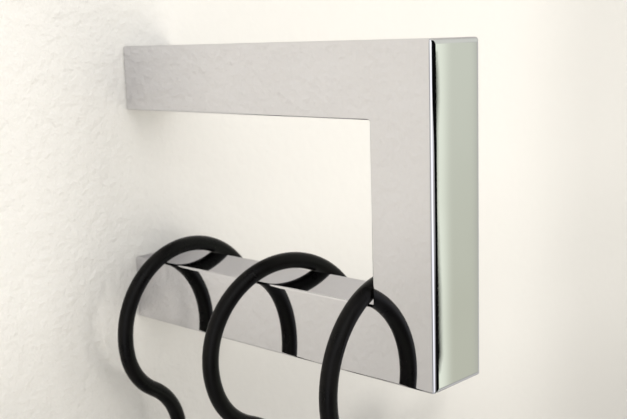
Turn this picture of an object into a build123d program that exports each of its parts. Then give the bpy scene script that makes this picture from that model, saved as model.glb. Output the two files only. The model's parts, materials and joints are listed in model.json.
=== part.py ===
"""Wall-mounted square rail with three clip hangers on its lower arm, in millimetres.

The wall is the plane Y = 0 and the rail stands out towards -Y. Z = 0 is midway between
the two arms and X = 0 is the middle of the bar's width.
"""

import os
from math import cos, pi, radians, sin, sqrt

from build123d import *

# Rail: square tube bent round into a closed U, both ends on the wall
BAR = 20.0
REACH = 121.5
HEIGHT = 88.0
TUBE_WALL = 2.0
EDGE_ROUND = 0.6
END_ROUND = 1.4
BORE = BAR - 2 * TUBE_WALL
ARM_AXIS = (HEIGHT - BAR) / 2

# Fixings hidden in the wall ends of the arms
POST_LENGTH = 16.0
POST_PLAY = 0.05
POST_CHAMFER = 0.8
SCREW_DIA = 5.0
SCREW_SHANK_DIA = 4.4
SCREW_HOLE_DIA = 5.4
SCREW_HEAD_DIA = 9.6
SCREW_CROSS = (3.6, 0.8)
SCREW_CROSS_DEPTH = 1.6
SCREW_HEAD_HEIGHT = 2.8
SCREW_IN_WALL = 32.0
SCREW_POINT = 6.0
GRUB_DIA = 5.0
GRUB_LENGTH = 5.0
GRUB_SOCKET = 2.5
GRUB_FROM_WALL = 8.0
GRUB_RECESS = 0.3

# Hanger hook: round wire in two arcs, then a reverse arc into a straight stem
WIRE = 4.8
HOOK_RADIUS = 26.4
HOOK_TIP_ANGLE = -20.0
CROWN_END_ANGLE = 195.0
NECK_RADIUS = 19.1
NECK_END_ANGLE = 242.0
SWEEP_BACK_RADIUS = 19.4
SEAT_GAP = 0.02

# Swivel and crossbar, measured from the crossbar's axis
BAR_DROP = 96.0
STRIP = 1.5
YOKE_WIDTH = 12.0
YOKE_SPAN = 24.0
YOKE_CEILING = 19.0
YOKE_LEG_BELOW = 6.5
YOKE_BEND = 3.0
YOKE_END_FLAT = 0.4
STEM_PLAY = 0.05
WASHER_DIA = 10.0
WASHER_THICK = 0.8
FACE_GAP = 0.02
STEM_HEAD_DIA = 8.5
STEM_HEAD_HEIGHT = 2.6
STEM_HEAD_CHAMFER = 0.6
ROD_DIA = 6.0
ROD_LENGTH = 300.0
ROD_CHAMFER = 0.5
CAP_DIA = 9.0
CAP_LENGTH = 12.0
CAP_OVERLAP = 9.0
CAP_ROUND = 2.0

# Clip: two pressed jaws that turn on the crossbar, closed by a torsion spring
CLIP_OFFSET = 105.0
SHEET = 1.2
JAW_WIDTH = 24.0
TAB_TOP = 19.0
TAB_SPREAD = 8.4
JAW_SHOULDER = 7.1
SHOULDER_TOP = 4.0
SHOULDER_BOTTOM = -5.0
GRIP_SPREAD = 2.6
GRIP_TOP = -15.0
GRIP_BOTTOM = -27.0
JAW_BEND = 3.0
TAB_CORNER = 5.0
GRIP_CORNER = 2.0
JAW_LEAN_LIMIT = 6.0
EAR_RADIUS = 5.2
EAR_PLAY = 0.06
BACK_EAR_INSIDE = 10.0
EAR_GAP = 0.05
PAD_WIDTH = 22.0
PAD_HEIGHT = 10.0
PAD_MEET = 0.05
PAD_GROOVES = 3
PAD_GROOVE_PITCH = 2.5
PAD_GROOVE_DEPTH = 0.5
PAD_GROOVE_WIDTH = 1.0
SPRING_WIRE = 1.2
SPRING_RADIUS = 4.1
SPRING_PITCH = 1.4
SPRING_TURNS = 5
SPRING_LEG = 15.0
SPRING_LEAN = 10.2

# Where each hanger hangs: distance from the wall, hook turned on its stem, hanger tipped sideways
HANGERS = {
    "hanger_1": (15.4, -1.0, -3.0),
    "hanger_2": (59.4, -11.0, 7.0),
    "hanger_3": (98.2, 4.0, 0.0),
}
CLIPS = {"left": -CLIP_OFFSET, "right": CLIP_OFFSET}


def polar(radius, angle):
    """Point at a radius and an angle in degrees."""
    return Vector(radius * cos(radians(angle)), radius * sin(radians(angle)))


# Centres of the hook's neck and of the reverse arc, in the plane of the hook
NECK_CENTRE = polar(HOOK_RADIUS - NECK_RADIUS, CROWN_END_ANGLE)
SWEEP_BACK_CENTRE = NECK_CENTRE + polar(NECK_RADIUS + SWEEP_BACK_RADIUS, NECK_END_ANGLE)
STEM_X = SWEEP_BACK_CENTRE.X + SWEEP_BACK_RADIUS
STEM_START = SWEEP_BACK_CENTRE.Y
HEAD_TOP = YOKE_CEILING - WASHER_THICK - 2 * FACE_GAP - BAR_DROP


def thin_edges(block):
    """Edges that run along the arms, round their wall ends and round the upright's inner face."""
    along_arms = block.edges().filter_by(Axis.Y).filter_by(lambda edge: edge.length > BAR)
    wall_ends = block.edges().filter_by_position(Axis.Y, 0, 0)
    inner_face = block.edges().filter_by_position(Axis.Y, BAR - REACH, BAR - REACH)
    return along_arms + wall_ends + inner_face


def rail_block():
    """The whole rail as one tube, before it is cut into its three lengths."""
    with BuildPart() as block:
        with BuildSketch(Plane.YZ):
            with Locations((-REACH / 2, 0)):
                Rectangle(REACH, HEIGHT)
            with Locations((-(REACH - BAR) / 2, 0)):
                Rectangle(REACH - BAR, HEIGHT - 2 * BAR, mode=Mode.SUBTRACT)
        extrude(amount=BAR / 2, both=True)
        fillet(block.edges().group_by(Axis.Y)[0], radius=END_ROUND)
        fillet(thin_edges(block), radius=EDGE_ROUND)
        with BuildSketch(Plane.YZ):
            with Locations((-(REACH - TUBE_WALL) / 2, 0)):
                Rectangle(REACH - TUBE_WALL, HEIGHT - 2 * TUBE_WALL)
            with Locations((-(REACH - TUBE_WALL - BORE) / 2, 0)):
                Rectangle(REACH - TUBE_WALL - BORE, HEIGHT - 2 * (BAR - TUBE_WALL), mode=Mode.SUBTRACT)
        extrude(amount=BORE / 2, both=True, mode=Mode.SUBTRACT)
    return block.part


def grub_hole(side, depth):
    """Core of the locking screw's hole, up from the underside of an arm."""
    with BuildPart() as core:
        with BuildSketch(Plane.XY.offset(side * ARM_AXIS - BAR / 2)):
            with Locations((0, -GRUB_FROM_WALL)):
                Circle(GRUB_DIA / 2)
        extrude(amount=depth)
    return core.part


def rail_lengths():
    """Two arms and the upright between them, mitred at the outer corners."""
    block = rail_block()
    top_mitre = Plane(origin=(0, -REACH, HEIGHT / 2), x_dir=(1, 0, 0), z_dir=(0, 1, 1))
    bottom_mitre = Plane(origin=(0, -REACH, -HEIGHT / 2), x_dir=(1, 0, 0), z_dir=(0, 1, -1))
    upper_hole = grub_hole(1, TUBE_WALL)
    lower_hole = grub_hole(-1, TUBE_WALL)
    with BuildPart() as upper_arm:
        add(block)
        split(bisect_by=Plane.XY, keep=Keep.TOP)
        split(bisect_by=top_mitre, keep=Keep.TOP)
        add(upper_hole, mode=Mode.SUBTRACT)
    with BuildPart() as front_upright:
        add(block)
        split(bisect_by=top_mitre, keep=Keep.BOTTOM)
        split(bisect_by=bottom_mitre, keep=Keep.BOTTOM)
    with BuildPart() as lower_arm:
        add(block)
        split(bisect_by=Plane.XY, keep=Keep.BOTTOM)
        split(bisect_by=bottom_mitre, keep=Keep.TOP)
        add(lower_hole, mode=Mode.SUBTRACT)
    return {
        "upper_arm": upper_arm.part,
        "front_upright": front_upright.part,
        "lower_arm": lower_arm.part,
    }


def wall_post(side):
    """Block screwed to the wall, inside the end of an arm."""
    width = BORE - 2 * POST_PLAY
    locking_hole = grub_hole(side, GRUB_RECESS + GRUB_LENGTH)
    with BuildPart() as post:
        with BuildSketch(Plane.XZ):
            with Locations((0, side * ARM_AXIS)):
                Rectangle(width, width)
        extrude(amount=POST_LENGTH)
        chamfer(post.edges().group_by(Axis.Y)[0], length=POST_CHAMFER)
        with BuildSketch(Plane.XZ):
            with Locations((0, side * ARM_AXIS)):
                Circle(SCREW_HOLE_DIA / 2)
        extrude(amount=POST_LENGTH, mode=Mode.SUBTRACT)
        with Locations(Plane(origin=(0, -POST_LENGTH, side * ARM_AXIS), z_dir=(0, 1, 0))):
            Cone(
                SCREW_HEAD_DIA / 2 + POST_PLAY,
                SCREW_SHANK_DIA / 2 + POST_PLAY,
                SCREW_HEAD_HEIGHT,
                align=(Align.CENTER, Align.CENTER, Align.MIN),
                mode=Mode.SUBTRACT,
            )
        add(locking_hole, mode=Mode.SUBTRACT)
    return post.part


def wall_screws():
    """Two countersunk wood screws: heads and shanks in the posts, threads in the wall."""
    with BuildPart() as screws:
        for side in (1, -1):
            axis_height = side * ARM_AXIS
            with BuildSketch(Plane.YZ):
                with BuildLine():
                    Polyline(
                        (-POST_LENGTH, axis_height),
                        (-POST_LENGTH, axis_height + SCREW_HEAD_DIA / 2),
                        (SCREW_HEAD_HEIGHT - POST_LENGTH, axis_height + SCREW_SHANK_DIA / 2),
                        (0, axis_height + SCREW_SHANK_DIA / 2),
                        (0, axis_height + SCREW_DIA / 2),
                        (SCREW_IN_WALL - SCREW_POINT, axis_height + SCREW_DIA / 2),
                        (SCREW_IN_WALL, axis_height),
                        close=True,
                    )
                make_face()
            revolve(axis=Axis((0, 0, axis_height), (0, 1, 0)))
        with BuildSketch(Plane.XZ.offset(POST_LENGTH)):
            with Locations((0, ARM_AXIS), (0, -ARM_AXIS)):
                Rectangle(*SCREW_CROSS)
                Rectangle(*reversed(SCREW_CROSS))
        extrude(amount=-SCREW_CROSS_DEPTH, mode=Mode.SUBTRACT)
    return screws.part


def grub_screws():
    """Two socket screws that lock the arms on their posts."""
    with BuildPart() as grubs:
        for side in (1, -1):
            underside = side * ARM_AXIS - BAR / 2 + GRUB_RECESS
            with BuildSketch(Plane.XY.offset(underside)):
                with Locations((0, -GRUB_FROM_WALL)):
                    Circle(GRUB_DIA / 2)
            extrude(amount=GRUB_LENGTH)
            with BuildSketch(Plane.XY.offset(underside)):
                with Locations((0, -GRUB_FROM_WALL)):
                    RegularPolygon(GRUB_SOCKET / 2, 6, major_radius=False)
            extrude(amount=GRUB_LENGTH / 2, mode=Mode.SUBTRACT)
    return grubs.part


def hook():
    """Wire hook about the centre of its crown, open towards +X, stem down to its upset head."""
    tip = polar(HOOK_RADIUS, HOOK_TIP_ANGLE)
    with BuildPart() as wire:
        with BuildLine(Plane.XZ) as path:
            CenterArc((0, 0), HOOK_RADIUS, HOOK_TIP_ANGLE, CROWN_END_ANGLE - HOOK_TIP_ANGLE)
            CenterArc(
                (NECK_CENTRE.X, NECK_CENTRE.Y),
                NECK_RADIUS,
                CROWN_END_ANGLE,
                NECK_END_ANGLE - CROWN_END_ANGLE,
            )
            CenterArc(
                (SWEEP_BACK_CENTRE.X, SWEEP_BACK_CENTRE.Y),
                SWEEP_BACK_RADIUS,
                NECK_END_ANGLE - 180,
                180 - NECK_END_ANGLE,
            )
            Line((STEM_X, STEM_START), (STEM_X, HEAD_TOP))
        with BuildSketch(Plane(origin=path.line @ 0, z_dir=path.line % 0)):
            Circle(WIRE / 2)
        sweep(path=path.line)
        with Locations((tip.X, 0, tip.Y)):
            Sphere(WIRE / 2)
        with BuildSketch(Plane.XY.offset(HEAD_TOP)):
            with Locations((STEM_X, 0)):
                Circle(STEM_HEAD_DIA / 2)
        extrude(amount=-STEM_HEAD_HEIGHT)
        chamfer(wire.edges().group_by(Axis.Z)[0], length=STEM_HEAD_CHAMFER)
    return wire.part


def swivel_washer():
    """Washer between the stem's head and the yoke."""
    with BuildPart() as washer:
        with BuildSketch(Plane.XY.offset(YOKE_CEILING - FACE_GAP - WASHER_THICK)):
            Circle(WASHER_DIA / 2)
            Circle(WIRE / 2 + 2 * STEM_PLAY, mode=Mode.SUBTRACT)
        extrude(amount=WASHER_THICK)
    return washer.part


def yoke():
    """Strip bent to an inverted U that hangs on the stem and carries the crossbar."""
    half_span = (YOKE_SPAN - STRIP) / 2
    roof = YOKE_CEILING + STRIP / 2
    with BuildPart() as strip:
        with BuildSketch(Plane.XZ):
            with BuildLine() as spine:
                FilletPolyline(
                    (-half_span, -YOKE_LEG_BELOW),
                    (-half_span, roof),
                    (half_span, roof),
                    (half_span, -YOKE_LEG_BELOW),
                    radius=YOKE_BEND,
                )
            trace(line_width=STRIP)
        extrude(amount=YOKE_WIDTH / 2, both=True)
        leg_ends = strip.edges().filter_by(Axis.X).group_by(Axis.Z)[0]
        fillet(leg_ends, radius=(YOKE_WIDTH - YOKE_END_FLAT) / 2)
        with BuildSketch(Plane.XY):
            Circle(WIRE / 2 + STEM_PLAY)
        extrude(amount=YOKE_CEILING + 2 * STRIP, mode=Mode.SUBTRACT)
        with BuildSketch(Plane.YZ):
            Circle(ROD_DIA / 2)
        extrude(amount=YOKE_SPAN, both=True, mode=Mode.SUBTRACT)
    return strip.part


def crossbar():
    """Round rod through both legs of the yoke."""
    with BuildPart() as rod:
        with BuildSketch(Plane.YZ):
            Circle(ROD_DIA / 2)
        extrude(amount=ROD_LENGTH / 2, both=True)
        chamfer(rod.edges().filter_by(GeomType.CIRCLE), length=ROD_CHAMFER)
    return rod.part


def end_caps():
    """Two soft caps pushed on the ends of the crossbar."""
    inner_end = ROD_LENGTH / 2 - CAP_OVERLAP
    with BuildPart() as caps:
        for side in (1, -1):
            with BuildSketch(Plane.YZ.offset(side * inner_end)):
                Circle(CAP_DIA / 2)
            extrude(amount=side * CAP_LENGTH)
        ends = caps.edges().filter_by(GeomType.CIRCLE)
        fillet(ends.group_by(Axis.X)[0] + ends.group_by(Axis.X)[-1], radius=CAP_ROUND)
        with BuildSketch(Plane.YZ):
            Circle(ROD_DIA / 2)
        extrude(amount=ROD_LENGTH / 2, both=True, mode=Mode.SUBTRACT)
    return caps.part


def through_sheet(plate):
    """Short edges of a jaw that run through its thickness, square to the leaning sheet."""
    return plate.edges().filter_by(Axis.Y, tolerance=JAW_LEAN_LIMIT)


def jaw(side, ear_inside):
    """Pressed plate with a thumb tab above the crossbar, a grip below and two ears around it."""
    with BuildPart() as plate:
        with BuildSketch(Plane.YZ):
            with BuildLine():
                FilletPolyline(
                    (side * TAB_SPREAD, TAB_TOP),
                    (side * JAW_SHOULDER, SHOULDER_TOP),
                    (side * JAW_SHOULDER, SHOULDER_BOTTOM),
                    (side * GRIP_SPREAD, GRIP_TOP),
                    (side * GRIP_SPREAD, GRIP_BOTTOM),
                    radius=JAW_BEND,
                )
            trace(line_width=SHEET)
        extrude(amount=JAW_WIDTH / 2, both=True)
        fillet(through_sheet(plate).group_by(Axis.Z)[0], radius=GRIP_CORNER)
        fillet(through_sheet(plate).group_by(Axis.Z)[-1], radius=TAB_CORNER)
        for ear_face in (ear_inside, -ear_inside - SHEET):
            with BuildSketch(Plane.YZ.offset(ear_face)):
                Circle(EAR_RADIUS)
                with Locations((side * JAW_SHOULDER / 2, (SHOULDER_TOP + SHOULDER_BOTTOM) / 2)):
                    Rectangle(JAW_SHOULDER - SHEET / 2, SHOULDER_TOP - SHOULDER_BOTTOM)
            extrude(amount=SHEET)
        with BuildSketch(Plane.YZ):
            Circle(ROD_DIA / 2 + EAR_PLAY)
        extrude(amount=JAW_WIDTH / 2, both=True, mode=Mode.SUBTRACT)
    return plate.part


def pad(side):
    """Ribbed grip on the inner face of a jaw."""
    back = GRIP_SPREAD - SHEET / 2
    middle = (GRIP_TOP + GRIP_BOTTOM) / 2
    with BuildPart() as block:
        with BuildSketch(Plane.YZ):
            with Locations((side * (back + PAD_MEET) / 2, middle)):
                Rectangle(back - PAD_MEET, PAD_HEIGHT)
            with Locations((side * PAD_MEET, middle)):
                with GridLocations(0, PAD_GROOVE_PITCH, 1, PAD_GROOVES):
                    Rectangle(2 * PAD_GROOVE_DEPTH, PAD_GROOVE_WIDTH, mode=Mode.SUBTRACT)
        extrude(amount=PAD_WIDTH / 2, both=True)
    return block.part


def spring():
    """Torsion spring round the crossbar, one leg behind each thumb tab."""
    end_angle = 180 - 2 * SPRING_LEAN
    turns = SPRING_TURNS + end_angle / 360
    length = turns * SPRING_PITCH
    end = polar(SPRING_RADIUS, end_angle)
    heading = polar(SPRING_LEG, end_angle + 90)
    leg_rise = SPRING_LEG * SPRING_PITCH / (2 * pi * SPRING_RADIUS)
    with BuildPart() as coil:
        with BuildLine() as path:
            Line((SPRING_RADIUS, -SPRING_LEG, -leg_rise), (SPRING_RADIUS, 0, 0))
            Helix(SPRING_PITCH, length, SPRING_RADIUS)
            Line((end.X, end.Y, length), (end.X + heading.X, end.Y + heading.Y, length + leg_rise))
        with BuildSketch(Plane(origin=path.line @ 0, z_dir=path.line % 0)):
            Circle(SPRING_WIRE / 2)
        sweep(path=path.line, is_frenet=True)
    lean = radians(SPRING_LEAN)
    along_bar = Plane(
        origin=(-length / 2, 0, 0),
        x_dir=(0, -cos(lean), -sin(lean)),
        z_dir=(1, 0, 0),
    )
    return along_bar.location * coil.part


def hook_place(from_wall, turn, tip):
    """Frame of a hook: its crown rests on the two rounded top edges of the lower arm."""
    edge = BAR / 2 - EDGE_ROUND
    reach = HOOK_RADIUS - WIRE / 2 - EDGE_ROUND - SEAT_GAP
    half_width = edge / cos(radians(turn))
    arm_top = -ARM_AXIS + BAR / 2
    centre_height = arm_top - EDGE_ROUND - sqrt(reach**2 - half_width**2)
    return Pos(0, -from_wall, centre_height) * Rot(0, 0, turn) * Rot(0, -tip, 0)


def hanger(name, from_wall, turn, tip):
    """All the pieces of one hanger, placed on the rail."""
    hook_frame = hook_place(from_wall, turn, tip)
    bar_frame = hook_frame * Pos(STEM_X, 0, -BAR_DROP) * Rot(0, 0, -turn)
    pieces = {
        f"{name}_hook": hook_frame * hook(),
        f"{name}_washer": bar_frame * swivel_washer(),
        f"{name}_yoke": bar_frame * yoke(),
        f"{name}_crossbar": bar_frame * crossbar(),
        f"{name}_end_caps": bar_frame * end_caps(),
    }
    front_ear_inside = BACK_EAR_INSIDE - EAR_GAP - SHEET
    for clip, offset in CLIPS.items():
        clip_frame = bar_frame * Pos(offset, 0, 0)
        pieces[f"{name}_{clip}_back_jaw"] = clip_frame * jaw(1, BACK_EAR_INSIDE)
        pieces[f"{name}_{clip}_front_jaw"] = clip_frame * jaw(-1, front_ear_inside)
        pieces[f"{name}_{clip}_back_pad"] = clip_frame * pad(1)
        pieces[f"{name}_{clip}_front_pad"] = clip_frame * pad(-1)
        pieces[f"{name}_{clip}_spring"] = clip_frame * spring()
    return pieces


def main():
    pieces = rail_lengths()
    pieces["upper_wall_post"] = wall_post(1)
    pieces["lower_wall_post"] = wall_post(-1)
    pieces["wall_screws"] = wall_screws()
    pieces["grub_screws"] = grub_screws()
    for name, (from_wall, turn, tip) in HANGERS.items():
        pieces.update(hanger(name, from_wall, turn, tip))
    os.makedirs("parts", exist_ok=True)
    for name, shape in pieces.items():
        shape.label = name
        export_step(shape, f"parts/{name}.step")


main()
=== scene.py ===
"""Looks for the wall rail with three clip hangers: materials, springs, studio and camera, in metres."""

import json
from math import cos, pi, radians, sin

import bmesh
import bpy
from mathutils import Matrix, Vector


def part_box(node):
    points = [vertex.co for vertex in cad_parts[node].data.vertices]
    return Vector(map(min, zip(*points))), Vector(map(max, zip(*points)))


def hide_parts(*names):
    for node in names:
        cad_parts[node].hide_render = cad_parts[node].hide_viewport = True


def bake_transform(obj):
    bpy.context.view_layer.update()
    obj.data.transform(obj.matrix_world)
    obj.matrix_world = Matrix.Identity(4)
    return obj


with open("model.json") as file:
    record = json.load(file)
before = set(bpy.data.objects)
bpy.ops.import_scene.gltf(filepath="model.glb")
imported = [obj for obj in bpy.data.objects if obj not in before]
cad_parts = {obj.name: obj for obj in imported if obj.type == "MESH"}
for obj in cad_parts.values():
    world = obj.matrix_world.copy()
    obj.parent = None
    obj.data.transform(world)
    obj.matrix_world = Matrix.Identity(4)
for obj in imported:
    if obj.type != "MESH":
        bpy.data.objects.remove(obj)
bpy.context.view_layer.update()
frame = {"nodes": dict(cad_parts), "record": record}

MM = 0.001
NODES = frame["nodes"]
JOINTS = {joint["name"]: joint for joint in frame["record"]["behaviour"]["joints"]}

# Numbers of a Mix node's colour sockets
MIX_FIRST, MIX_SECOND, MIX_RESULT = 6, 7, 2

# ------------------------------------------------------------------ node helpers


class Graph:
    """A material's or world's node tree, with short calls to add and join nodes."""

    def __init__(self, owner):
        owner.use_nodes = True
        self.tree = owner.node_tree
        self.tree.nodes.clear()

    def add(self, kind, inputs=None, **settings):
        node = self.tree.nodes.new(kind)
        for name, value in settings.items():
            setattr(node, name, value)
        for name, value in (inputs or {}).items():
            self.set(node.inputs[name], value)
        return node

    def set(self, socket, value):
        if isinstance(value, bpy.types.NodeSocket):
            self.tree.links.new(value, socket)
        else:
            socket.default_value = value

    def math(self, operation, a, b=0.0):
        node = self.add("ShaderNodeMath", operation=operation)
        for socket, value in zip(node.inputs, (a, b)):
            self.set(socket, value)
        return node.outputs[0]

    def plus(self, a, b):
        return self.math("ADD", a, b)

    def times(self, first, *others):
        for other in others:
            first = self.math("MULTIPLY", first, other)
        return first

    def mix(self, factor, a, b):
        node = self.add("ShaderNodeMix", data_type="RGBA")
        self.set(node.inputs[0], factor)
        self.set(node.inputs[MIX_FIRST], a)
        self.set(node.inputs[MIX_SECOND], b)
        return node.outputs[MIX_RESULT]

    def remap(self, value, low, high, out_low, out_high):
        """Goes smoothly from out_low at low to out_high at high, and stays there outside."""
        node = self.add("ShaderNodeMapRange", interpolation_type="SMOOTHSTEP")
        for socket, number in zip(node.inputs, (value, low, high, out_low, out_high)):
            self.set(socket, number)
        return node.outputs[0]

    def band(self, value, opens, full, fades, gone):
        """0 up to opens, 1 between full and fades, and 0 again past gone."""
        return self.times(self.remap(value, opens, full, 0, 1), self.remap(value, fades, gone, 1, 0))

    def noise(self, coordinates, scale, detail=3.0, roughness=0.5):
        node = self.add(
            "ShaderNodeTexNoise",
            {"Vector": coordinates, "Scale": scale, "Detail": detail, "Roughness": roughness},
        )
        return node.outputs["Fac"]

    def object_space(self, stretch=(1, 1, 1)):
        place = self.add("ShaderNodeTexCoord").outputs["Object"]
        return self.add("ShaderNodeMapping", {"Vector": place, "Scale": stretch}).outputs[0]

    def shade(self, value):
        """Grey colour of a computed brightness."""
        return self.add("ShaderNodeCombineColor", {0: value, 1: value, 2: value}).outputs[0]

    def bump(self, height, distance, strength=1.0):
        inputs = {"Height": height, "Distance": distance, "Strength": strength}
        return self.add("ShaderNodeBump", inputs).outputs[0]

    def surface(self, **inputs):
        names = {name.replace("_", " "): value for name, value in inputs.items()}
        shader = self.add("ShaderNodeBsdfPrincipled", names)
        out = self.add("ShaderNodeOutputMaterial", {"Surface": shader.outputs[0]})
        return shader, out


def grey(value):
    return (value, value, value, 1.0)


# ------------------------------------------------------------------ materials

FINE_RIPPLE = 0.02 * MM
GRAIN_DEPTH = 0.05 * MM


def polished_chrome():
    """Mirror plate with faint polishing marks and a very slight ripple."""
    material = bpy.data.materials.new("polished_chrome_look")
    g = Graph(material)
    place = g.object_space()
    marks = g.noise(g.object_space(stretch=(60, 900, 900)), scale=3.0, detail=4.0)
    cloud = g.noise(place, scale=35.0, detail=2.0)
    roughness = g.remap(cloud, 0.3, 0.7, 0.006, 0.014)
    roughness = g.plus(roughness, g.remap(marks, 0.55, 0.8, 0.0, 0.008))
    tint = g.mix(g.remap(cloud, 0.35, 0.65, 0, 1), (0.700, 0.694, 0.713, 1), (0.684, 0.677, 0.692, 1))
    edge_tint = (0.62, 0.62, 0.64, 1)
    normal = g.bump(g.noise(place, scale=40.0, detail=1.0), FINE_RIPPLE, strength=0.5)
    g.surface(
        Base_Color=tint,
        Metallic=1.0,
        Roughness=roughness,
        Normal=normal,
        Specular_Tint=edge_tint,
    )
    return material


def satin_black():
    """Smooth black coating over steel wire, with the fine orange peel of a dipped finish."""
    material = bpy.data.materials.new("satin_black_look")
    g = Graph(material)
    place = g.object_space()
    peel = g.noise(place, scale=1400.0, detail=2.0)
    cloud = g.noise(place, scale=120.0)
    darker = (0.0020, 0.0017, 0.0016, 1)
    lighter = (0.0035, 0.0030, 0.0027, 1)
    tint = g.mix(g.remap(cloud, 0.35, 0.65, 0, 1), darker, lighter)
    roughness = g.remap(cloud, 0.3, 0.7, 0.26, 0.34)
    normal = g.bump(peel, FINE_RIPPLE, strength=0.3)
    g.surface(Base_Color=tint, Roughness=roughness, Normal=normal, Specular_IOR_Level=0.115)
    return material


def plated_clip():
    """Bright nickel on pressed sheet: rolled grain under the plate and slightly dull areas."""
    material = bpy.data.materials.new("plated_clip_look")
    g = Graph(material)
    grain = g.noise(g.object_space(stretch=(40, 600, 600)), scale=6.0, detail=4.0)
    cloud = g.noise(g.object_space(), scale=90.0)
    roughness = g.plus(g.remap(cloud, 0.3, 0.7, 0.1, 0.2), g.remap(grain, 0.4, 0.8, 0.0, 0.08))
    tint = g.mix(cloud, (0.60, 0.585, 0.55, 1), (0.68, 0.665, 0.63, 1))
    normal = g.bump(grain, FINE_RIPPLE, strength=0.4)
    g.surface(Base_Color=tint, Metallic=1.0, Roughness=roughness, Normal=normal)
    return material


def spring_wire():
    """Drawn spring steel: darker and duller than the plate, and mottled."""
    material = bpy.data.materials.new("spring_wire_look")
    g = Graph(material)
    marks = g.noise(g.object_space(), scale=900.0, detail=4.0)
    tint = g.mix(marks, (0.30, 0.30, 0.31, 1), (0.46, 0.46, 0.47, 1))
    roughness = g.remap(marks, 0.3, 0.7, 0.22, 0.38)
    normal = g.bump(marks, FINE_RIPPLE, strength=0.4)
    g.surface(Base_Color=tint, Metallic=1.0, Roughness=roughness, Normal=normal)
    return material


def rubber(name, dark, light, rough):
    """Soft black rubber or vinyl with a fine moulded grain."""
    material = bpy.data.materials.new(name)
    g = Graph(material)
    place = g.object_space()
    grain = g.noise(place, scale=2200.0, detail=2.0)
    cloud = g.noise(place, scale=150.0)
    tint = g.mix(cloud, grey(dark), grey(light))
    roughness = g.remap(cloud, 0.3, 0.7, rough, rough + 0.12)
    normal = g.bump(grain, GRAIN_DEPTH, strength=0.6)
    g.surface(Base_Color=tint, Roughness=roughness, Normal=normal)
    return material


def zinc(name, low, high):
    """Zinc: mottled grey with small crystals."""
    material = bpy.data.materials.new(name)
    g = Graph(material)
    place = g.object_space()
    crystals = g.add("ShaderNodeTexVoronoi", {"Vector": place, "Scale": 700.0}).outputs["Distance"]
    tint = g.mix(crystals, grey(low), grey(high))
    roughness = g.remap(crystals, 0.0, 1.0, 0.3, 0.5)
    normal = g.bump(g.noise(place, scale=500.0), GRAIN_DEPTH, strength=0.5)
    g.surface(Base_Color=tint, Metallic=1.0, Roughness=roughness, Normal=normal)
    return material


LOOKS = {
    "polished_chrome": polished_chrome(),
    "satin_black_coating": satin_black(),
    "plated_clip": plated_clip(),
    "spring_wire": spring_wire(),
    "rubber_pad": rubber("rubber_pad_look", dark=0.014, light=0.024, rough=0.6),
    "soft_black_cap": rubber("soft_cap_look", dark=0.012, light=0.02, rough=0.45),
    "plated_screw": zinc("plated_screw_look", low=0.45, high=0.62),
    "cast_zinc": zinc("cast_zinc_look", low=0.32, high=0.45),
}


def dress_cad_nodes():
    """Every CAD node takes the better version of its own material."""
    for part in frame["record"]["subparts"]:
        node = NODES[part["node"]]
        look = LOOKS[part["material_slot"]]
        for slot in node.material_slots:
            slot.material = look


# ------------------------------------------------------------------ springs

SPRING_WIRE = 1.2 * MM
SPRING_RADIUS = 4.1 * MM
SPRING_PITCH = 1.4 * MM
SPRING_TURNS = 5
SPRING_LEG = 15.0 * MM
SPRING_LEAN = 10.2
LEG_POINTS = (0.25, 0.5, 0.75, 1)
WIRE_SIDES = 12
STEPS_PER_TURN = 28


def tube(name, points, radius, sides):
    """Round wire swept along a line of points, with flat ends."""
    mesh = bpy.data.meshes.new(name)
    piece = bpy.data.objects.new(name, mesh)
    bpy.context.scene.collection.objects.link(piece)
    work = bmesh.new()
    rings = []
    heading = (points[1] - points[0]).normalized()
    side = heading.orthogonal().normalized()
    for i, point in enumerate(points):
        ahead = points[min(i + 1, len(points) - 1)] - points[max(i - 1, 0)]
        new_heading = ahead.normalized()
        side.rotate(heading.rotation_difference(new_heading))
        heading = new_heading
        up = heading.cross(side)
        ring = []
        for k in range(sides):
            angle = 2 * pi * k / sides
            ring.append(work.verts.new(point + radius * (side * cos(angle) + up * sin(angle))))
        rings.append(ring)
    for first, second in zip(rings, rings[1:]):
        for k in range(sides):
            j = (k + 1) % sides
            work.faces.new((first[k], first[j], second[j], second[k]))
    work.faces.new(list(reversed(rings[0])))
    work.faces.new(rings[-1])
    work.normal_update()
    work.to_mesh(mesh)
    work.free()
    for face in mesh.polygons:
        face.use_smooth = len(face.vertices) == 4
    return piece


def spring_line():
    """Centre line of a torsion spring about the crossbar's axis, X along the bar."""
    end_angle = radians(180 - 2 * SPRING_LEAN)
    total = 2 * pi * SPRING_TURNS + end_angle
    length = SPRING_PITCH * total / (2 * pi)
    slope = SPRING_PITCH / (2 * pi * SPRING_RADIUS)
    points = []
    for t in reversed(LEG_POINTS):
        points.append(Vector((SPRING_RADIUS, -SPRING_LEG * t, -SPRING_LEG * t * slope)))
    steps = int(STEPS_PER_TURN * total / (2 * pi))
    for i in range(steps + 1):
        angle = total * i / steps
        height = length * i / steps
        points.append(Vector((SPRING_RADIUS * cos(angle), SPRING_RADIUS * sin(angle), height)))
    heading = Vector((-sin(end_angle), cos(end_angle), slope))
    last = points[-1].copy()
    points += [last + heading * SPRING_LEG * t for t in LEG_POINTS]
    lean = radians(SPRING_LEAN)
    across = Vector((0, -cos(lean), -sin(lean)))
    along = Vector((1, 0, 0))
    turned = along.cross(across)
    return [across * p.x + turned * p.y + along * (p.z - length / 2) for p in points]


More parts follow.
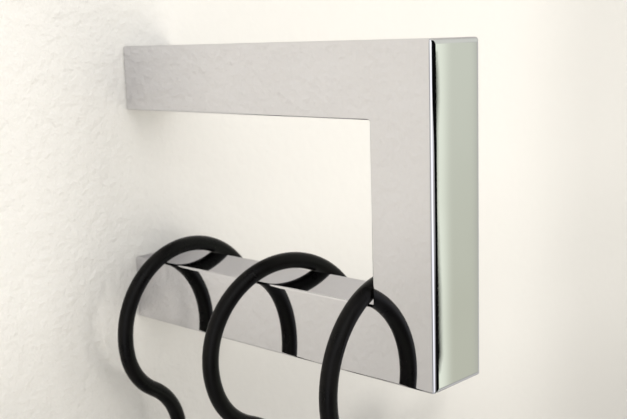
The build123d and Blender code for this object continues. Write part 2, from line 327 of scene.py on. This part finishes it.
def clip_frame(prefix):
    """Place and directions of a clip: X along its crossbar, Z up its thumb tabs."""
    joint = JOINTS[f"{prefix}_open"]
    along = -Vector(joint["axis"])
    origin = Vector(joint["pos_m"])
    hanger = prefix.rsplit("_", 1)[0]
    up = Vector(JOINTS[f"{hanger}_swivel"]["axis"])
    forward = up.cross(along)
    turn = Matrix((along, forward, up)).transposed().to_4x4()
    return Matrix.Translation(origin) @ turn


def add_springs():
    """A coiled spring with two legs for each clip, in place of the hidden CAD spring."""
    line = spring_line()
    for hanger in ("hanger_1", "hanger_2", "hanger_3"):
        for side in ("left", "right"):
            prefix = f"{hanger}_{side}"
            place = clip_frame(prefix)
            piece = tube(f"{prefix}_spring_coil", [place @ p for p in line], SPRING_WIRE / 2, WIRE_SIDES)
            piece.data.materials.append(LOOKS["spring_wire"])
            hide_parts(f"{prefix}_spring")
            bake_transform(piece)


# ------------------------------------------------------------------ wall and floor

FLOOR_HEIGHT = -0.30
STAGE_REACH = 6.0
WALL_PAINT = (0.925, 0.900, 0.845, 1)
FLOOR_PAINT = (0.80, 0.775, 0.73, 1)
ROLLER_DEPTH = 1.2 * MM


def sheet(name, corners, look, faces=((0, 1, 2, 3),)):
    """Open surface of the stage, which isn't part of the object."""
    mesh = bpy.data.meshes.new(name)
    mesh.from_pydata(corners, [], faces)
    piece = bpy.data.objects.new(name, mesh)
    bpy.context.scene.collection.objects.link(piece)
    mesh.materials.append(look)
    return piece


def plaster(name, colour, shade):
    """Pale painted surface, seen from one side only, with a roller texture strongest left of the rail."""
    material = bpy.data.materials.new(name)
    g = Graph(material)
    place = g.object_space()
    roller = g.noise(place, scale=260.0, detail=4.0, roughness=0.6)
    mottle = g.remap(g.noise(place, scale=9.0, detail=2.0), 0.3, 0.7, 0.985, 1.0)
    # shade paints light and shadow into the colour: the wall's painted shade, and 1 on the floor; mottle is
    # a faint random tone
    tint = g.mix(g.times(mottle, shade(g, place)), grey(0), colour)
    x = g.add("ShaderNodeSeparateXYZ", {0: place}).outputs[0]
    relief = g.remap(x, -30 * MM, 30 * MM, 1.0, 0.3)
    normal = g.bump(roller, ROLLER_DEPTH, strength=relief)
    shader, out = g.surface(Base_Color=tint, Roughness=0.85, Normal=normal)
    clear = g.add("ShaderNodeBsdfTransparent")
    behind = g.add("ShaderNodeNewGeometry").outputs["Backfacing"]
    pick = g.add("ShaderNodeMixShader", {0: behind, 1: shader.outputs[0], 2: clear.outputs[0]})
    g.set(out.inputs["Surface"], pick.outputs[0])
    return material


def wall_shade(g, place):
    """Painted light and shade in the wall's colour: it falls off below the rail, and far out to its left and
    right.
    """
    xyz = g.add("ShaderNodeSeparateXYZ", {0: place}).outputs
    x, z = xyz[0], xyz[2]

    # Broad painted shadow of the rail and hangers, which begins just above the lower arm, deepest from 60 mm
    # left to 50 mm right of the rail
    fades_right = g.remap(x, 50 * MM, 190 * MM, 0.28, 0.08)
    fades_left = g.remap(x, -100 * MM, -60 * MM, 0.72, 1.0)
    shade = g.times(fades_right, fades_left, g.remap(z, -92 * MM, -10 * MM, 1, 0))
    below_rail = g.math("SUBTRACT", 1.0, shade)

    # Painted shade towards the floor and far out to the left and right, and painted light that makes the
    # wall a little lighter left of the rail
    far_below = g.remap(z, -190 * MM, -85 * MM, 0.82, 1.0)
    far_left = g.remap(x, -170 * MM, -60 * MM, 0.94, 1.0)
    beside_rail = g.remap(x, -50 * MM, 20 * MM, 1.05, 0.97)
    far_right = g.remap(x, 200 * MM, 300 * MM, 1.0, 0.86)
    return g.times(below_rail, far_below, far_left, beside_rail, far_right)


def even_shade(g, place):
    return 1.0


def studio():
    """One-sided wall behind the rail, and a floor that the mirror faces don't see."""
    reach = STAGE_REACH
    low, high = FLOOR_HEIGHT, FLOOR_HEIGHT + STAGE_REACH
    wall = plaster("wall_paint", WALL_PAINT, wall_shade)
    floor = plaster("floor_paint", FLOOR_PAINT, even_shade)
    sheet("wall_backdrop", [(-reach, 0, low), (reach, 0, low), (reach, 0, high), (-reach, 0, high)], wall)
    corners = [(-reach, -reach, low), (reach, -reach, low), (reach, reach, low), (-reach, reach, low)]
    ground = sheet("floor", corners, floor)
    ground.visible_glossy = False


# ------------------------------------------------------------------ room in the reflections

# Bearings are degrees from +X round towards -Y, and rises are degrees above the horizon.
# From the camera, the flat outer face reflects bearings up to FACE_BEARING, which it shows at its left edge.
FACE_BEARING = 36.61

SIDE_WALL_HIGH = (0.81, 0.85, 0.715, 1)
SIDE_WALL_LOW = (0.69, 0.715, 0.58, 1)
BESIDE_DOOR = (1.09, 1.16, 0.98, 1)
SIDE_WALL_DIM = (0.56, 0.57, 0.52, 1)
SIDE_WALL_END = (0.92, 0.92, 0.89, 1)
ABOVE_WALL = (0.86, 0.88, 0.80, 1)
DOORWAY = grey(0.004)
WINDOW = (1.5, 1.52, 1.6, 1)

DOOR_GAIN_PAST_FACE = 0.015
DOOR_GAIN_ON_FACE = 7.7
HIGH_BULGE = 0.80
LOW_BULGE = 1.35


def side_wall(g, bearing, rise):
    """What the outer face reflects: pale green-grey, bright beside the doorway and dim beyond that."""
    colour = g.mix(g.remap(rise, -20, 0, 0, 1), SIDE_WALL_LOW, SIDE_WALL_HIGH)
    colour = g.mix(g.remap(bearing, 35.7, 36.5, 0, 1), colour, BESIDE_DOOR)
    colour = g.mix(g.remap(bearing, 34.0, 34.7, 1, 0), colour, SIDE_WALL_DIM)
    colour = g.mix(g.remap(bearing, 10, 26, 1, 0), colour, SIDE_WALL_END)
    return g.mix(g.remap(rise, 1, 14, 0, 1), colour, ABOVE_WALL)


def doorway(g, bearing, rise):
    """1 inside the dark doorway: its near edge bulges on to the face twice, and draws back at both ends."""
    past_face = g.math("SUBTRACT", bearing, FACE_BEARING)
    past = g.times(g.math("MAXIMUM", past_face, 0), DOOR_GAIN_PAST_FACE)
    on_face = g.times(g.math("MINIMUM", past_face, 0), DOOR_GAIN_ON_FACE)
    near_edge = g.times(g.band(rise, -5.8, -3.0, -2.6, -0.6), -HIGH_BULGE)
    near_edge = g.plus(near_edge, g.times(g.band(rise, -19.0, -17.6, -17.2, -10.0), -LOW_BULGE))
    near_edge = g.plus(near_edge, g.remap(rise, -18.7, -19.9, 0, 1.2))
    near_edge = g.plus(near_edge, g.remap(rise, -1.2, 0.2, 0, 0.9))
    inside = g.math("GREATER_THAN", g.plus(past, on_face), near_edge)
    return g.times(inside, g.remap(bearing, 47, 50, 1, 0), g.remap(rise, 0.5, 2.5, 1, 0))


def far_side(g, heading, bearing, rise):
    """Soft grey shapes, darker below the horizon, and a window behind the viewer's left shoulder."""
    shapes = g.remap(g.noise(heading, scale=5.0, detail=2.0), 0.38, 0.62, 0.50, 0.95)
    shapes = g.times(shapes, g.remap(rise, -24, 4, 0.45, 1))
    window = g.times(
        g.band(bearing, 126, 136, 158, 168),
        g.remap(rise, -28, -12, 0.5, 1),
        g.remap(rise, 30, 45, 1, 0),
    )
    return g.mix(window, g.shade(shapes), WINDOW)


def room():
    """Plain white light for the whole scene, and a pale room for the mirror faces alone."""
    world = bpy.data.worlds.new("room")
    bpy.context.scene.world = world
    g = Graph(world)
    heading = g.add("ShaderNodeTexCoord").outputs["Generated"]
    x, y, z = g.add("ShaderNodeSeparateXYZ", {0: heading}).outputs
    bearing = g.times(g.math("ARCTAN2", g.times(y, -1.0), x), 180 / pi)
    rise = g.times(g.math("ARCSINE", z), 180 / pi)
    sides = g.mix(
        g.remap(bearing, 60, 80, 0, 1),
        side_wall(g, bearing, rise),
        far_side(g, heading, bearing, rise),
    )
    seen = g.mix(doorway(g, bearing, rise), sides, DOORWAY)
    mirror = g.add("ShaderNodeLightPath").outputs["Is Glossy Ray"]
    colour = g.mix(mirror, grey(1.0), seen)
    shine = g.add("ShaderNodeBackground", {"Color": colour, "Strength": 1.0})
    g.add("ShaderNodeOutputWorld", {"Surface": shine.outputs[0]})


# ------------------------------------------------------------------ dark card at the outer corner

# The card goes round the corner's rounding, from bearing FLAG_FROM to FLAG_TO, and further at both ends.
END_ROUND = 1.4 * MM
FLAG_RADIUS = 6.0 * MM
FLAG_FROM = 55.0
FLAG_TO = 104.0
FLAG_WIDER_ABOVE = 29.0
FLAG_WIDENS_ABOVE = (13 * MM, 34 * MM)
FLAG_WIDER_BELOW = 12.0
FLAG_WIDENS_BELOW = (-7 * MM, -23 * MM)
FLAG_ROWS = 48
FLAG_COLUMNS = 12


def smooth(value, start, end):
    """Goes smoothly from 0 at start to 1 at end."""
    t = min(max((value - start) / (end - start), 0.0), 1.0)
    return t * t * (3 - 2 * t)


def flag_black():
    material = bpy.data.materials.new("flag_black")
    g = Graph(material)
    dull = g.add("ShaderNodeEmission", {"Color": DOORWAY})
    g.add("ShaderNodeOutputMaterial", {"Surface": dull.outputs[0]})
    return material


def dark_flag():
    """Black card bent round the outer corner, seen by reflections alone: it draws the corner's dark line."""
    low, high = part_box("front_upright")
    top = high.z + FLAG_RADIUS
    tall = high.z - low.z + 2 * FLAG_RADIUS
    points = []
    for i in range(FLAG_ROWS + 1):
        height = top - tall * i / FLAG_ROWS
        wider = FLAG_WIDER_ABOVE * smooth(height, *FLAG_WIDENS_ABOVE)
        wider += FLAG_WIDER_BELOW * smooth(height, *FLAG_WIDENS_BELOW)
        span = FLAG_TO + wider - FLAG_FROM
        centre = Vector((low.x + END_ROUND, low.y + END_ROUND, height))
        for k in range(FLAG_COLUMNS + 1):
            bearing = radians(FLAG_FROM + span * k / FLAG_COLUMNS)
            points.append(centre + FLAG_RADIUS * Vector((cos(bearing), -sin(bearing), 0)))
    wide = FLAG_COLUMNS + 1
    faces = []
    for i in range(FLAG_ROWS):
        for k in range(FLAG_COLUMNS):
            first = i * wide + k
            faces.append((first, first + 1, first + wide + 1, first + wide))
    flag = sheet("dark_flag", points, flag_black(), faces)
    flag.visible_camera = False
    flag.visible_diffuse = False
    flag.visible_shadow = False
    flag.visible_transmission = False


# ------------------------------------------------------------------ lights


def softbox(name, place, aim, size, watts):
    """Square soft light at place, turned towards aim."""
    lamp = bpy.data.lights.new(name, "AREA")
    lamp.shape = "RECTANGLE"
    lamp.size = size
    lamp.size_y = size
    lamp.energy = watts
    holder = bpy.data.objects.new(name, lamp)
    bpy.context.scene.collection.objects.link(holder)
    holder.location = place
    holder.rotation_euler = (Vector(aim) - Vector(place)).to_track_quat("-Z", "Y").to_euler()
    return holder


def lights():
    softbox("key_softbox", place=(-0.5, -1.3, 1.1), aim=(0, -0.05, 0), size=1.2, watts=4.0)
    low = softbox("window_softbox", place=(0.20, -1.30, -0.20), aim=(0, 0, 0), size=0.34, watts=4.1)
    low.data.color = (1.0, 0.97, 0.93)
    low.visible_glossy = False


# ------------------------------------------------------------------ camera

CAMERA_AT = Vector((-205.05, -267.42, 45.08)) * MM
CAMERA_TURN = 46.35
CAMERA_DIP = 9.63
CAMERA_ROLL = -1.75
CAMERA_FIELD = 34.3
CAMERA_STOP = 40
CAMERA_CLIP = 5 * MM


def photo_camera():
    """Camera at the photograph's viewpoint, sharp at the lower end of the upright's outer corner."""
    turn, dip, roll = radians(CAMERA_TURN), radians(CAMERA_DIP), radians(CAMERA_ROLL)
    ahead = Vector((sin(turn) * cos(dip), cos(turn) * cos(dip), -sin(dip)))
    right = ahead.cross(Vector((0, 0, 1))).normalized()
    up = right.cross(ahead)
    right, up = cos(roll) * right + sin(roll) * up, cos(roll) * up - sin(roll) * right
    camera = bpy.data.objects.new("photo_camera", bpy.data.cameras.new("photo_camera"))
    bpy.context.scene.collection.objects.link(camera)
    camera.matrix_world = Matrix.Translation(CAMERA_AT) @ Matrix((right, up, -ahead)).transposed().to_4x4()
    camera.data.angle = radians(CAMERA_FIELD)
    camera.data.clip_start = CAMERA_CLIP
    sharp = bpy.data.objects.new("sharp_point", None)
    bpy.context.scene.collection.objects.link(sharp)
    sharp.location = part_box("front_upright")[0]
    camera.data.dof.use_dof = True
    camera.data.dof.focus_object = sharp
    camera.data.dof.aperture_fstop = CAMERA_STOP
    bpy.context.scene.camera = camera


dress_cad_nodes()
add_springs()
studio()
room()
dark_flag()
lights()
photo_camera()
bpy.context.scene.view_settings.view_transform = "Standard"
